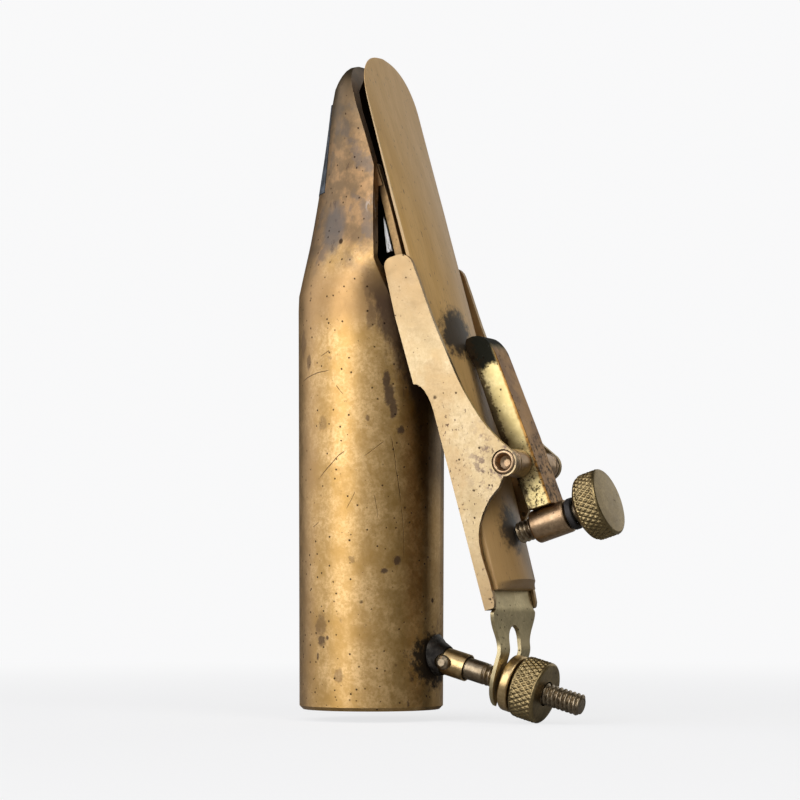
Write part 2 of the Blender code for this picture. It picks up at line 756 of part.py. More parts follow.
# ---------------------------------------------------------------- assembly


def clear_scene():
    for thing in list(bpy.data.objects):
        bpy.data.objects.remove(thing, do_unlink=True)


def main():
    clear_scene()
    bench = bpy.data.objects.new("bench", None)
    bpy.context.scene.collection.objects.link(bench)
    bench.location = Vector((-CENTRE_X, 0, -NUT_LOW_Z)) * MM
    DRAWN_IN[bench.name] = BENCH

    old = make_material("old_brass", BRASS_OLD, 0.38)
    bright = make_material("bright_brass", BRASS_BRIGHT, 0.32)
    yellow = make_material("yellow_brass", BRASS_YELLOW, 0.3)
    olive = make_material("knurled_brass", BRASS_OLIVE, 0.4)
    copper = make_material("coppery_brass", BRASS_COPPER, 0.35)
    nickel = make_material("nickel_silver", NICKEL_SILVER, 0.42)
    silver = make_material("solder", SOLDER, 0.35)
    cane = make_material("cane", CANE, 0.55, 0.0)
    soot = make_material("soot_black", SOOT, 0.7, 0.0)

    add_body(bench, old)
    add_table(bench, bright)
    add_table_solder(bench, silver)
    add_bite_plate(bench, soot)
    add_stud(bench, copper, soot, nickel)
    add_nut(bench, bright, olive)

    carrier = add_axis("carrier_axis", REED @ Matrix.Translation((HINGE_T, 0, HINGE_S)), bench)
    add_channel(carrier, bright)
    add_base_plate(carrier, nickel)
    add_rivets(carrier, copper)
    add_hinge(bench, carrier, copper, nickel)
    add_pivot_pin(carrier, copper)
    add_reed(carrier, cane)

    lever = add_axis("lever_axis", REED @ Matrix.Translation((PIVOT_T, 0, PIVOT_S)), bench)
    add_lever(lever, yellow)
    add_spacers(lever, copper)
    add_boss(lever, copper, soot)
    add_screw(bench, olive, olive)


main()
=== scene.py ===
"""Looks for the saxophone mouthpiece with its reed carrier and rocker-lever clamp.

Millimetres are used throughout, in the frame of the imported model. Axes come from the model's
joints, sizes from its boxes. A piece is either a skin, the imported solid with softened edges
and smooth shading, or a finer mesh with the knurling, threads and roundings of the real thing.
"""

import json
import math

import bmesh
import bpy
from mathutils import Matrix, Vector


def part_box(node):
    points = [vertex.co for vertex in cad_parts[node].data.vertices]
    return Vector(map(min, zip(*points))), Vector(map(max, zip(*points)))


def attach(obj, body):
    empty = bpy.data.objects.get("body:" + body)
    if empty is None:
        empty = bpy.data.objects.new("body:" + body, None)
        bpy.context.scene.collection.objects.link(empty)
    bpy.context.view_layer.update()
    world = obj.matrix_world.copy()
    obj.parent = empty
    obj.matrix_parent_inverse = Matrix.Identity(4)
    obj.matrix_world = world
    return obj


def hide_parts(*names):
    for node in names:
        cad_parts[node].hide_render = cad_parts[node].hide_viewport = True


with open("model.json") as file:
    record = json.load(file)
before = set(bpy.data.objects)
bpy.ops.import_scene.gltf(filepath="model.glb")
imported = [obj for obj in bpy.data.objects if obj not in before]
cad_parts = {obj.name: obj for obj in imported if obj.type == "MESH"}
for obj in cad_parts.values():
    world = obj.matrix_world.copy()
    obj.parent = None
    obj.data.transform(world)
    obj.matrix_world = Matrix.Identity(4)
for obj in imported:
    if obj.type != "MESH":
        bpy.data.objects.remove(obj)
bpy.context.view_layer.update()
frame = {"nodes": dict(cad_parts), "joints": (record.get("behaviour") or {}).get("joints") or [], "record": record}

MM = 0.001
TABLE_ANGLE = math.radians(15.0)
HINGE_T, HINGE_S = -1.35, 42.0

# knurling and threads
KNURL_PITCH = 0.76
KNURL_DEPTH = 0.2
THREAD_PITCH = 0.65
THREAD_DEPTH = 0.3
THREAD_RADIUS = 1.5
THREAD_STEP = 0.075
KNOB_STEP = 0.085
NUT_RADIUS = 4.24
HEAD_RADIUS = 4.63

# reed
REED_T = 0.6
REED_HEEL_S = 10.6
REED_TIP_S = 88.4
REED_HALF_TIP = 7.8
REED_HALF_HEEL = 6.1
REED_THICK = 2.75
TIP_LENGTH = 7.9
TIP_START = REED_TIP_S - TIP_LENGTH
HEEL_CUT = 0.9
HEEL_DROP = 1.6

# clamp lever and screw
LEVER_HALF = 2.3
LEVER_TAPER = 0.111
BOSS_T = 6.2
SCREW_HEAD_T = 13.5
STUD_END = 9.35

# the inlay is drawn this much larger than its solid, against the gap round it
BITE_SPREAD = 1.025

# camera
CAMERA_AZIMUTH = math.radians(27.3)
CAMERA_TILT = math.radians(-4.5)
CAMERA_DISTANCE = 350.0
CAMERA_LENS = 112.0
CAMERA_HEIGHT = 44.62
CAMERA_SHIFT = 4.0
VIEW_ACROSS = (math.cos(CAMERA_AZIMUTH), math.sin(CAMERA_AZIMUTH), 0)

# metals
SPECK_COLOUR = (0.035, 0.018, 0.01)

# studio
BACKGROUND = (0.945, 0.945, 0.95)
FLOOR_SHADOW = 0.8
BRIGHT_SIDE = (-0.42, -0.90, 0.12)
# place from facing away from the bright side (0) to facing it (1), brightness there
STUDIO_STOPS = (
    (0.0, 0.45),
    (0.035, 0.2),
    (0.07, 0.03),
    (0.19, 0.15),
    (0.41, 0.03),
    (0.56, 0.12),
    (0.687, 0.56),
    (0.81, 1.14),
    (0.9, 1.1),
    (1.0, 1.1),
)
LIGHT_TARGET = (0, 0, 45)


# ---------------------------------------------------------------- frames


def joint(name):
    return next(j for j in frame["joints"] if j["name"] == name)


def axis_frame(centre, direction):
    """A frame at centre with local Z along direction and local Y kept across the reed."""
    z = Vector(direction).normalized()
    y = Vector((0, 1, 0))
    x = y.cross(z).normalized()
    return Matrix.Translation(centre) @ Matrix((x, y, z)).transposed().to_4x4()


def joint_frame(name, sign=1):
    j = joint(name)
    return axis_frame(Vector(j["pos_m"]) / MM, Vector(j["axis"]) * sign)


HINGE = Vector(joint("carrier_tilt")["pos_m"]) / MM
REED = (
    Matrix.Translation(HINGE)
    @ Matrix.Rotation(-TABLE_ANGLE, 4, "Y")
    @ Matrix.Translation((-HINGE_T, 0, -HINGE_S))
)
REED_OUT = tuple(REED.to_3x3() @ Vector((1, 0, 0)))
REED_UP = tuple(REED.to_3x3() @ Vector((0, 0, 1)))
STUD = joint_frame("nut_spin", -1)
SCREW = joint_frame("clamp_screw_spin")
PIVOT = Matrix.Translation(Vector(joint("clamp_lever_tilt")["pos_m"]) / MM) @ Matrix.Rotation(
    math.radians(-90), 4, "X"
)
TUBE_X = (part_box("mouthpiece_body")[0].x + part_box("mouthpiece_body")[1].x) / 2 / MM


def on_reed(t, y, s):
    """A point given outwards from the table, across it and up along it."""
    return tuple(REED @ Vector((t, y, s)))


def smoothstep(low, high, value):
    u = min(max((value - low) / (high - low), 0.0), 1.0)
    return u * u * (3 - 2 * u)


# ---------------------------------------------------------------- meshes


def finish_piece(name, points, faces, place, body, nodes, material, sharp=35.0, bevel=0.0):
    """Makes the object from millimetre points drawn in place, hangs it on its body and hides the imported nodes it
    stands for.
    """
    mesh = bpy.data.meshes.new(name)
    mesh.from_pydata([place @ Vector(p) * MM for p in points], [], faces)
    mesh.validate()
    mesh.shade_smooth()
    mesh.set_sharp_from_angle(angle=math.radians(sharp))
    mesh.materials.append(material)
    piece = bpy.data.objects.new(name, mesh)
    bpy.context.scene.collection.objects.link(piece)
    if bevel:
        soften(piece, bevel)
    return hand_over(piece, body, nodes)


def hand_over(piece, body, nodes):
    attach(piece, body)
    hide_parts(*nodes)
    return piece


def node_body(node):
    bodies = frame["record"]["behaviour"]["bodies"]
    return next(body for body, members in bodies.items() if node in members)


def soften(piece, width, segments=2):
    modifier = piece.modifiers.new("soft_edges", "BEVEL")
    modifier.width = width * MM
    modifier.segments = segments
    modifier.limit_method = "ANGLE"
    modifier.angle_limit = math.radians(40)
    modifier.harden_normals = True
    modifier.use_clamp_overlap = True


def skin(node, material, bevel=0.1, sharp=32.0):
    """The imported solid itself, with flat patches merged, edges softened and smooth shading."""
    mesh = frame["nodes"][node].data.copy()
    for layer in [a for a in mesh.attributes if a.name == "custom_normal"]:
        mesh.attributes.remove(layer)
    bm = bmesh.new()
    bm.from_mesh(mesh)
    bmesh.ops.remove_doubles(bm, verts=bm.verts, dist=0.002 * MM)
    bmesh.ops.dissolve_limit(bm, angle_limit=math.radians(0.6), verts=bm.verts, edges=bm.edges)
    bm.to_mesh(mesh)
    bm.free()
    mesh.materials.clear()
    mesh.materials.append(material)
    mesh.shade_smooth()
    mesh.set_sharp_from_angle(angle=math.radians(sharp))
    piece = bpy.data.objects.new(f"{node}_skin", mesh)
    bpy.context.scene.collection.objects.link(piece)
    if bevel:
        soften(piece, bevel)
    return hand_over(piece, node_body(node), [node])


def ring_faces(rows, count):
    faces = []
    for i in range(rows - 1):
        low, high = i * count, (i + 1) * count
        for j in range(count):
            k = (j + 1) % count
            faces.append([low + j, low + k, high + k, high + j])
    return faces


def turned(name, profile, place, nodes, material, segments=96, relief=None, sharp=35.0):
    """A turned solid: (radius, height) points from the axis at the low end to the axis on top.

    relief(angle, height, radius) is added to the radius: knurling or a thread.
    """
    points, rows = [], [p for p in profile if p[0] > 0]
    for radius, height in rows:
        for j in range(segments):
            a = 2 * math.pi * j / segments
            r = radius + (relief(a, height, radius) if relief else 0.0)
            points.append((r * math.cos(a), r * math.sin(a), height))
    faces = ring_faces(len(rows), segments)
    last = (len(rows) - 1) * segments
    if profile[0][0] == 0:
        faces.append(list(range(segments))[::-1])
        faces.append([last + j for j in range(segments)])
    else:
        for j in range(segments):
            k = (j + 1) % segments
            faces.append([last + j, last + k, k, j])
    body = node_body(nodes[0])
    return finish_piece(name, points, faces, place, body, nodes, material, sharp)


def rounded(points, radius, steps=4):
    """Rounds the inner corners of a profile."""
    out = [points[0]]
    for a, b, c in zip(points, points[1:], points[2:]):
        u, v = Vector(a) - Vector(b), Vector(c) - Vector(b)
        reach = min(radius, u.length / 2.1, v.length / 2.1)
        start, end = Vector(b) + u.normalized() * reach, Vector(b) + v.normalized() * reach
        for i in range(steps + 1):
            t = i / steps
            out.append(tuple(start * (1 - t) ** 2 + Vector(b) * 2 * t * (1 - t) + end * t * t))
    return out + [points[-1]]


def filled(profile, step):
    """Adds stations to a profile so that no stretch is longer than step."""
    out = [profile[0]]
    for a, b in zip(profile, profile[1:]):
        run = (Vector(b) - Vector(a)).length
        count = max(1, math.ceil(run / step))
        out += [tuple(Vector(a).lerp(Vector(b), i / count)) for i in range(1, count + 1)]
    return out


def smooth_path(points, steps):
    """A Catmull-Rom curve through a few points."""
    padded = [points[0], *points, points[-1]]
    out = []
    for a, b, c, d in zip(padded, padded[1:], padded[2:], padded[3:]):
        a, b, c, d = Vector(a), Vector(b), Vector(c), Vector(d)
        for i in range(steps):
            u = i / steps
            square = 2 * a - 5 * b + 4 * c - d
            cube = 3 * b - a - 3 * c + d
            out.append(0.5 * (2 * b + (c - a) * u + square * u**2 + cube * u**3))
    return out + [Vector(points[-1])]


def zigzag(value):
    """A triangle wave: 0 at whole numbers, 1 halfway between them."""
    return 1 - abs(2 * (value % 1.0) - 1)


def diamond_knurl(low, high, radius):
    """Two crossing sets of grooves cut into a band of a knob."""
    count = round(2 * math.pi * radius / KNURL_PITCH)

    def relief(a, h, r):
        if r < radius * 0.93:
            return 0.0
        u = a * count / (2 * math.pi)
        v = (h - low) / (KNURL_PITCH * 1.5)
        groove = min(zigzag(u + v), zigzag(u - v), 0.8) / 0.8
        fade = smoothstep(low, low + 0.3, h) * (1 - smoothstep(high - 0.3, high, h))
        return -KNURL_DEPTH * fade * (1 - groove)

    return relief


def thread(low, high):
    """A helical groove, fading in at low and out at high."""

    def relief(a, h, r):
        if r < 1.0:
            return 0.0
        fade = smoothstep(low, low + 0.5, h) * (1 - smoothstep(high - 0.1, high + 0.3, h))
        groove = 1 - min(zigzag(h / THREAD_PITCH - a / (2 * math.pi)) * 1.25, 1.0)
        return -THREAD_DEPTH * fade * groove

    return relief


# ---------------------------------------------------------------- materials


class Paint:
    """A Principled material built from object coordinates in the model's frame, in millimetres."""

    def __init__(self, name, metallic=1.0):
        self.material = bpy.data.materials.new(name)
        self.material.use_nodes = True
        self.tree = self.material.node_tree
        self.shader = self.tree.nodes["Principled BSDF"]
        self.shader.inputs["Metallic"].default_value = metallic
        coordinates = self.tree.nodes.new("ShaderNodeTexCoord")
        scale = self.tree.nodes.new("ShaderNodeVectorMath")
        scale.operation = "SCALE"
        scale.inputs["Scale"].default_value = 1 / MM
        self.tree.links.new(coordinates.outputs["Object"], scale.inputs[0])
        self.place = scale.outputs[0]
        self.bumps = None

    def link(self, value, socket):
        if isinstance(value, bpy.types.NodeSocket):
            self.tree.links.new(value, socket)
        else:
            socket.default_value = (*value, 1) if isinstance(value, tuple) else value

    def noise(
        self,
        size,
        detail=3.0,
        rough=0.55,
        stretch=(1, 1, 1),
        shift=(0, 0, 0),
        turn=(0, 0, 0),
        warp=0.0,
    ):
        """Noise from 0 to 1 with features of about size mm, longer along an axis by stretch."""
        mapping = self.tree.nodes.new("ShaderNodeMapping")
        mapping.vector_type = "TEXTURE"
        mapping.inputs["Location"].default_value = shift
        mapping.inputs["Rotation"].default_value = turn
        mapping.inputs["Scale"].default_value = stretch
        self.tree.links.new(self.place, mapping.inputs["Vector"])
        node = self.tree.nodes.new("ShaderNodeTexNoise")
        node.inputs["Scale"].default_value = 1 / size
        node.inputs["Detail"].default_value = detail
        node.inputs["Roughness"].default_value = rough
        node.inputs["Distortion"].default_value = warp
        self.tree.links.new(mapping.outputs[0], node.inputs["Vector"])
        return node.outputs["Fac"]

    def spots(self, size, radius, chance, shift=(0, 0, 0)):
        """Round spots: 1 inside, one in each cell of size mm that chance picks."""
        mapping = self.tree.nodes.new("ShaderNodeMapping")
        mapping.inputs["Location"].default_value = shift
        self.tree.links.new(self.place, mapping.inputs["Vector"])
        node = self.tree.nodes.new("ShaderNodeTexVoronoi")
        node.inputs["Scale"].default_value = 1 / size
        self.tree.links.new(mapping.outputs[0], node.inputs["Vector"])
        wobble = self.linear(self.noise(size / 5, 2.0), 0.35 * radius, -0.17 * radius)
        inside = self.ramp(self.plus(node.outputs["Distance"], wobble), radius, radius * 0.55)
        split = self.tree.nodes.new("ShaderNodeSeparateColor")
        self.tree.links.new(node.outputs["Color"], split.inputs[0])
        picked = self.math("LESS_THAN", split.outputs[0], chance)
        return self.times(inside, picked)

    def axis(self, name):
        node = self.tree.nodes.new("ShaderNodeSeparateXYZ")
        self.tree.links.new(self.place, node.inputs[0])
        return node.outputs[name]

    def along(self, direction, origin):
        """Distance in mm along direction from origin."""
        move = self.tree.nodes.new("ShaderNodeVectorMath")
        move.operation = "SUBTRACT"
        self.tree.links.new(self.place, move.inputs[0])
        move.inputs[1].default_value = origin
        dot = self.tree.nodes.new("ShaderNodeVectorMath")
        dot.operation = "DOT_PRODUCT"
        self.tree.links.new(move.outputs[0], dot.inputs[0])
        dot.inputs[1].default_value = direction
        return dot.outputs["Value"]

    def near(self, centre, reach, soft=0.6, ragged=0.0):
        """1 close to a point, fading to 0 at reach; reach may differ by axis."""
        reach = Vector(reach) if not isinstance(reach, (int, float)) else Vector((reach,) * 3)
        move = self.tree.nodes.new("ShaderNodeVectorMath")
        move.operation = "SUBTRACT"
        self.tree.links.new(self.place, move.inputs[0])
        move.inputs[1].default_value = centre
        scale = self.tree.nodes.new("ShaderNodeVectorMath")
        scale.operation = "DIVIDE"
        self.tree.links.new(move.outputs[0], scale.inputs[0])
        scale.inputs[1].default_value = reach
        size = self.tree.nodes.new("ShaderNodeVectorMath")
        size.operation = "LENGTH"
        self.tree.links.new(scale.outputs[0], size.inputs[0])
        value = size.outputs["Value"]
        if ragged:
            value = self.plus(value, self.linear(self.noise(0.9, 5.0, 0.65), ragged, -ragged / 2))
        return self.ramp(value, 1.0, 1.0 - soft)

    def ramp(self, value, low, high):
        """0 at low, 1 at high, smooth between; low may be the larger."""
        node = self.tree.nodes.new("ShaderNodeMapRange")
        node.interpolation_type = "SMOOTHSTEP"
        turned_round = low > high
        node.inputs["From Min"].default_value = min(low, high)
        node.inputs["From Max"].default_value = max(low, high)
        node.inputs["To Min"].default_value = 1.0 if turned_round else 0.0
        node.inputs["To Max"].default_value = 0.0 if turned_round else 1.0
        self.link(value, node.inputs["Value"])
        return node.outputs["Result"]

    def math(self, operation, a, b=0.0, c=0.0):
        node = self.tree.nodes.new("ShaderNodeMath")
        node.operation = operation
        for value, socket in zip((a, b, c), node.inputs):
            self.link(value, socket)
        return node.outputs[0]

    def times(self, a, b):
        return self.math("MULTIPLY", a, b)

    def plus(self, a, b):
        return self.math("ADD", a, b)

    def either(self, a, b):
        return self.math("MAXIMUM", a, b)

    def linear(self, value, factor, offset):
        return self.math("MULTIPLY_ADD", value, factor, offset)

    def mix(self, a, b, amount):
        node = self.tree.nodes.new("ShaderNodeMix")
        node.data_type = "RGBA"
        self.link(amount, node.inputs["Factor"])
        self.link(a, node.inputs["A"])
        self.link(b, node.inputs["B"])
        return node.outputs["Result"]

    def over(self, colour, tint, amount, strength):
        """The tint over the colour: amount is a mask, strength how much of the colour it hides."""
        return self.mix(colour, tint, self.times(amount, strength))

    def bump(self, height, depth, strength=1.0):
        node = self.tree.nodes.new("ShaderNodeBump")
        node.inputs["Strength"].default_value = strength
        node.inputs["Distance"].default_value = depth * MM
        self.link(height, node.inputs["Height"])
        if self.bumps:
            self.tree.links.new(self.bumps, node.inputs["Normal"])
        self.bumps = node.outputs[0]

    def done(self, colour, rough):
        self.link(colour, self.shader.inputs["Base Color"])
        self.link(rough, self.shader.inputs["Roughness"])
        if self.bumps:
            self.tree.links.new(self.bumps, self.shader.inputs["Normal"])
        return self.material


def aged_metal(name, light, dark, rough, speck, shift=(0, 0, 0), zones=None):
    """Tarnished metal: cloudy colour, fine mottling, dark specks, faint scratches.

    zones(paint, colour) returns the colour with the piece's own marks, and where it is matt.
    """
    paint = Paint(name)
    cloud = paint.noise(5.0, 5.0, 0.6, shift=shift)
    middle = paint.noise(1.7, 4.0, 0.6, shift=shift, warp=0.4)
    fine = paint.noise(0.42, 4.0, 0.7, shift=shift)
    colour = paint.mix(dark, light, paint.ramp(cloud, 0.3, 0.6))
    colour = paint.over(colour, dark, paint.ramp(middle, 0.58, 0.36), 0.6)
    colour = paint.over(colour, dark, paint.ramp(fine, 0.62, 0.36), 0.62)
    tiny = paint.ramp(paint.noise(0.5, 3.0, 0.7, shift=(shift[1] + 7, shift[0], 3)), 0.685, 0.73)
    large = paint.spots(3.4, 0.15, 0.4 * speck, shift)
    small = paint.spots(1.1, 0.17, speck, (shift[2] + 2, shift[0], shift[1]))
    marks = paint.either(tiny, paint.either(large, small))
    marks = paint.times(marks, min(1.0, 0.5 + speck))
    matt = 0.0
    if zones:
        colour, matt = zones(paint, colour)
    colour = paint.over(colour, SPECK_COLOUR, marks, 0.85)
    scratch = paint.noise(0.12, 2.0, 0.5, stretch=(1, 1, 14), turn=(0.35, 0.5, 0.2), shift=shift)
    paint.bump(fine, 0.014, 0.6)
    paint.bump(middle, 0.03, 0.5)
    paint.bump(scratch, 0.006, 0.5)
    paint.bump(marks, -0.03, 0.5)
    spread = paint.linear(middle, 0.24, rough - 0.12)
    spread = paint.linear(marks, 0.25, spread)
    return paint.done(colour, paint.linear(matt, 0.4, spread))


def bench(x, y, z):
    """A point given from the tube's axis at the height of the model's floor."""
    return (TUBE_X + x, y, z)


def on_tube(degrees, z, radius=10.25):
    """A point on the tube, degrees round it to the right of the side that faces the camera."""
    a = CAMERA_AZIMUTH + math.radians(degrees - 90)
    return bench(radius * math.cos(a), radius * math.sin(a), z)


# purple-brown stains: degrees round the tube, height, half width, half height, strength
TUBE_STAINS = (
    (12.2, 46.4, 0.5, 1.6, 1.0),
    (14.5, 44.6, 0.75, 1.5, 1.0),
    (17.7, 42.8, 0.55, 1.5, 1.0),
    (24.0, 39.8, 0.55, 0.55, 1.0),
    (-2.5, 41.4, 0.3, 0.5, 0.7),
    (-40.0, 40.8, 0.75, 1.0, 0.4),
    (-67.0, 52.0, 0.9, 1.8, 0.5),
    (-57.0, 49.4, 0.5, 1.0, 0.6),
    (0.5, 55.6, 0.7, 1.9, 0.6),
    (-2.0, 58.6, 0.5, 1.6, 0.5),
    (20.5, 22.0, 0.6, 0.7, 1.0),
    (10.5, 20.6, 0.5, 0.35, 1.0),
    (-43.0, 13.2, 1.1, 1.5, 0.55),
    (-42.0, 11.0, 0.8, 0.8, 0.9),
    (-36.0, 11.5, 0.3, 0.4, 1.0),
    (-46.0, 9.0, 0.3, 0.6, 1.0),
    (-26.0, 6.4, 0.8, 0.9, 0.5),
    (31.0, 2.4, 0.3, 0.7, 1.0),
    (33.0, 6.2, 0.4, 0.8, 0.6),
)

# hair scratches: degrees and height at both ends, half thickness
HAIRS = (
    ((15.3, 39.3), (24.5, 29.5), 0.07),
    ((24.5, 29.8), (28.0, 22.0), 0.05),
    ((-5.6, 36.0), (11.9, 38.2), 0.06),
    ((-46.0, 33.2), (-18.8, 37.0), 0.07),
    ((-69.0, 47.0), (-32.0, 48.2), 0.07),
    ((-43.0, 50.0), (-33.0, 50.7), 0.05),
    ((-28.0, 46.0), (-21.0, 44.7), 0.045),
    ((-20.0, 29.0), (-12.0, 31.5), 0.045),
    ((2.0, 31.0), (5.0, 27.5), 0.045),
    ((-52.0, 26.5), (-44.0, 27.2), 0.05),
)


def tube_marks(paint, colour):
    """The body: smoky copper beak, purple stains beside the carrier, long hair scratches, and painted shade on its
    left edge, shoulder, far side and bore.
    """
    height = paint.axis("Z")
    wander = paint.noise(6.0, 4.0, 0.6, shift=(11, 0, 4))
    beak = paint.ramp(paint.linear(wander, 18.0, height), 67.5, 76.0)
    patches = paint.ramp(paint.noise(3.0, 5.0, 0.65), 0.38, 0.6)
    copper = paint.mix((0.31, 0.185, 0.09), (0.15, 0.098, 0.055), patches)
    colour = paint.over(colour, copper, beak, 0.92)
    smoke = paint.near(bench(-1.5, -8.6, 68.0), (3.0, 5.0, 4.6), 0.55, 0.6)
    haze = paint.times(paint.ramp(paint.noise(3.4, 4.0, 0.6, shift=(3, 8, 1)), 0.5, 0.62), beak)
    smoke = paint.either(smoke, paint.times(haze, 0.7))
    colour = paint.over(colour, (0.115, 0.095, 0.08), smoke, 0.85)
    tip = paint.ramp(height, 76.0, 88.5)
    colour = paint.over(colour, (0.10, 0.072, 0.042), tip, 0.8)
    rightward = paint.along(VIEW_ACROSS, bench(0, 0, 0))
    # painted shade: the tube's left edge, as the camera sees it, darkened towards brown
    left_edge_shade = paint.ramp(paint.linear(wander, 4.0, rightward), -3.6, -7.6)
    colour = paint.over(colour, (0.27, 0.165, 0.085), left_edge_shade, 0.62)
    # a brown band round the shoulder: painted shade to dim its highlight, over the brown tone of the metal there
    shoulder = paint.times(paint.ramp(height, 52.0, 57.0), paint.ramp(height, 64.0, 60.0))
    colour = paint.over(colour, (0.34, 0.205, 0.09), shoulder, 0.75)
    # painted shade on the side of the tube behind the carrier
    colour = paint.over(colour, (0.06, 0.032, 0.01), shaded_side(paint), 0.8)
    stain = edge_stain(paint)
    for degrees, z, width, tall, strength in TUBE_STAINS:
        spot = paint.near(on_tube(degrees, z), (width * 1.3, width * 1.3, tall * 1.3), 0.5, 1.5)
        stain = paint.either(stain, paint.times(spot, strength))
    smudge = paint.ramp(paint.noise(1.9, 4.0, 0.6, stretch=(1, 1, 1.6), shift=(7, 1, 9)), 0.66, 0.72)
    stain = paint.either(stain, paint.times(smudge, 0.4))
    colour = paint.over(colour, (0.05, 0.030, 0.028), stain, 0.8)
    flakes = paint.ramp(paint.noise(0.7, 5.0, 0.7, stretch=(1, 1, 5), shift=(2, 2, 2)), 0.54, 0.62)
    seam = on_reed(-2.0, -6.2, 65.5)
    flakes = paint.times(flakes, paint.near(seam, (2.4, 4.0, 6.5), 0.5))
    colour = paint.mix(colour, (0.62, 0.62, 0.6), flakes)
    paint.link(paint.math("SUBTRACT", 1.0, paint.times(flakes, 0.8)), paint.shader.inputs["Metallic"])
    foot = paint.near(bench(10.2, 0.0, 8.4), (4.9, 6.9, 4.6), 0.42, 1.3)
    colour = paint.over(colour, (0.02, 0.016, 0.014), foot, 0.93)
    hair = scratches(paint)
    paint.bump(hair, -0.05, 0.6)
    # painted shade: the walls of the bore and chamber darkened to near black
    hollow = inside(paint)
    colour = paint.over(colour, (0.03, 0.024, 0.018), hollow, 0.92)
    colour = paint.over(colour, (0.07, 0.04, 0.02), hair, 0.85)
    matt = paint.either(paint.either(foot, hollow), paint.times(stain, 0.4))
    return colour, matt


def edge_stain(paint):
    """A ragged dark band down the body beside the carrier, from the shoulder to its notch."""
    reed_side = paint.along(REED_OUT, on_reed(0, 0, 0))
    ragged = paint.linear(paint.noise(1.8, 5.0, 0.65, stretch=(1, 1, 2)), 4.6, -2.3)
    band = paint.ramp(paint.plus(reed_side, ragged), -6.0, -4.4)
    height = paint.axis("Z")
    reach = paint.times(paint.ramp(height, 40.0, 46.0), paint.ramp(height, 63.0, 57.0))
    return paint.times(band, reach)


def inside(paint):
    """1 on the walls of the bore and the chamber: surfaces that face the tube's axis, where shade is painted in.
    """
    normal = paint.tree.nodes["Texture Coordinate"].outputs["Normal"]
    flat = paint.tree.nodes.new("ShaderNodeVectorMath")
    flat.operation = "MULTIPLY_ADD"
    paint.tree.links.new(paint.place, flat.inputs[0])
    flat.inputs[1].default_value = (1, 1, 0)
    flat.inputs[2].default_value = (-TUBE_X, 0, 0)
    dot = paint.tree.nodes.new("ShaderNodeVectorMath")
    dot.operation = "DOT_PRODUCT"
    paint.tree.links.new(flat.outputs[0], dot.inputs[0])
    paint.tree.links.new(normal, dot.inputs[1])
    return paint.ramp(dot.outputs["Value"], -0.6, -1.6)


def scratches(paint):
    """The hair scratches, each a thin slice of the tube's surface between its two ends."""
    total = 0.0
    for start, end, width in HAIRS:
        a, b = Vector(on_tube(*start)), Vector(on_tube(*end))
        middle = (a + b) / 2
        outward = Vector((middle.x - TUBE_X, middle.y, 0))
        across = (b - a).cross(outward).normalized()
        bend = paint.linear(paint.noise(5.0, 1.0), 1.0, -0.5)
        offset = paint.plus(paint.along(tuple(across), tuple(middle)), bend)
        thin = paint.ramp(paint.math("ABSOLUTE", offset), width, width * 0.3)
        between = paint.near(tuple(middle), (b - a).length / 2, 0.3)
        total = paint.either(paint.times(thin, between), total)
    return total


def shaded_side(paint):
    """1 on the side of the tube behind the carrier, where shade is painted in, narrower towards the foot."""
    offset = paint.along(VIEW_ACROSS, bench(0, 0, 0))
    start = paint.linear(paint.ramp(paint.axis("Z"), 48.0, 22.0), 2.0, 5.0)
    ragged = paint.linear(paint.noise(2.5, 4.0, 0.6), 1.4, -0.7)
    run = paint.plus(paint.math("SUBTRACT", offset, start), ragged)
    # low down, the painted shade is lifted along the far edge, where a reflection lights the rim
    far = paint.times(paint.ramp(offset, 7.4, 8.6), paint.ramp(paint.axis("Z"), 36.0, 26.0))
    shade = paint.times(paint.ramp(run, -0.6, 1.6), paint.ramp(paint.axis("Z"), 60.0, 54.0))
    return paint.times(shade, paint.linear(far, -0.85, 1.0))


def carrier_marks(paint, colour):
    """Cream-gold flange: ochre along the bends, clusters of dark dots low down, painted shade towards both ends.
    """
    below = paint.ramp(paint.axis("Z"), 47.0, 40.0)
    cluster = paint.ramp(paint.noise(0.42, 3.0, 0.6, stretch=(1, 1, 1.5), shift=(3, 1, 2)), 0.6, 0.66)
    gather = paint.ramp(paint.noise(2.6, 3.0, 0.6, shift=(1, 2, 5)), 0.46, 0.58)
    amount = paint.times(paint.times(cluster, gather), below)
    few = paint.ramp(paint.noise(0.5, 3.0, 0.6, shift=(6, 1, 7)), 0.69, 0.73)
    amount = paint.either(amount, few)
    ochre = paint.ramp(paint.noise(5.0, 4.0, 0.65, stretch=(1, 1, 2.2), shift=(9, 2, 5)), 0.46, 0.64)
    colour = paint.over(colour, (0.37, 0.24, 0.11), ochre, 0.5)
    height = paint.axis("Z")
    # painted shade: the carrier darkened towards its top and bottom ends
    ends = paint.either(paint.ramp(height, 48.0, 60.0), paint.ramp(height, 26.0, 16.0))
    colour = paint.over(colour, (0.33, 0.215, 0.105), ends, 0.62)
    colour = paint.over(colour, (0.05, 0.025, 0.02), amount, 0.85)
    pivot = tuple(PIVOT.translation + Vector((-1.0, -6.5, 0.5)))
    smudge = paint.ramp(paint.noise(1.3, 4.0, 0.65, shift=(2, 7, 3)), 0.5, 0.62)
    smudge = paint.times(smudge, paint.near(pivot, (6.0, 8.0, 8.0), 0.7))
    colour = paint.over(colour, (0.11, 0.07, 0.065), smudge, 0.75)
    return colour, 0.0


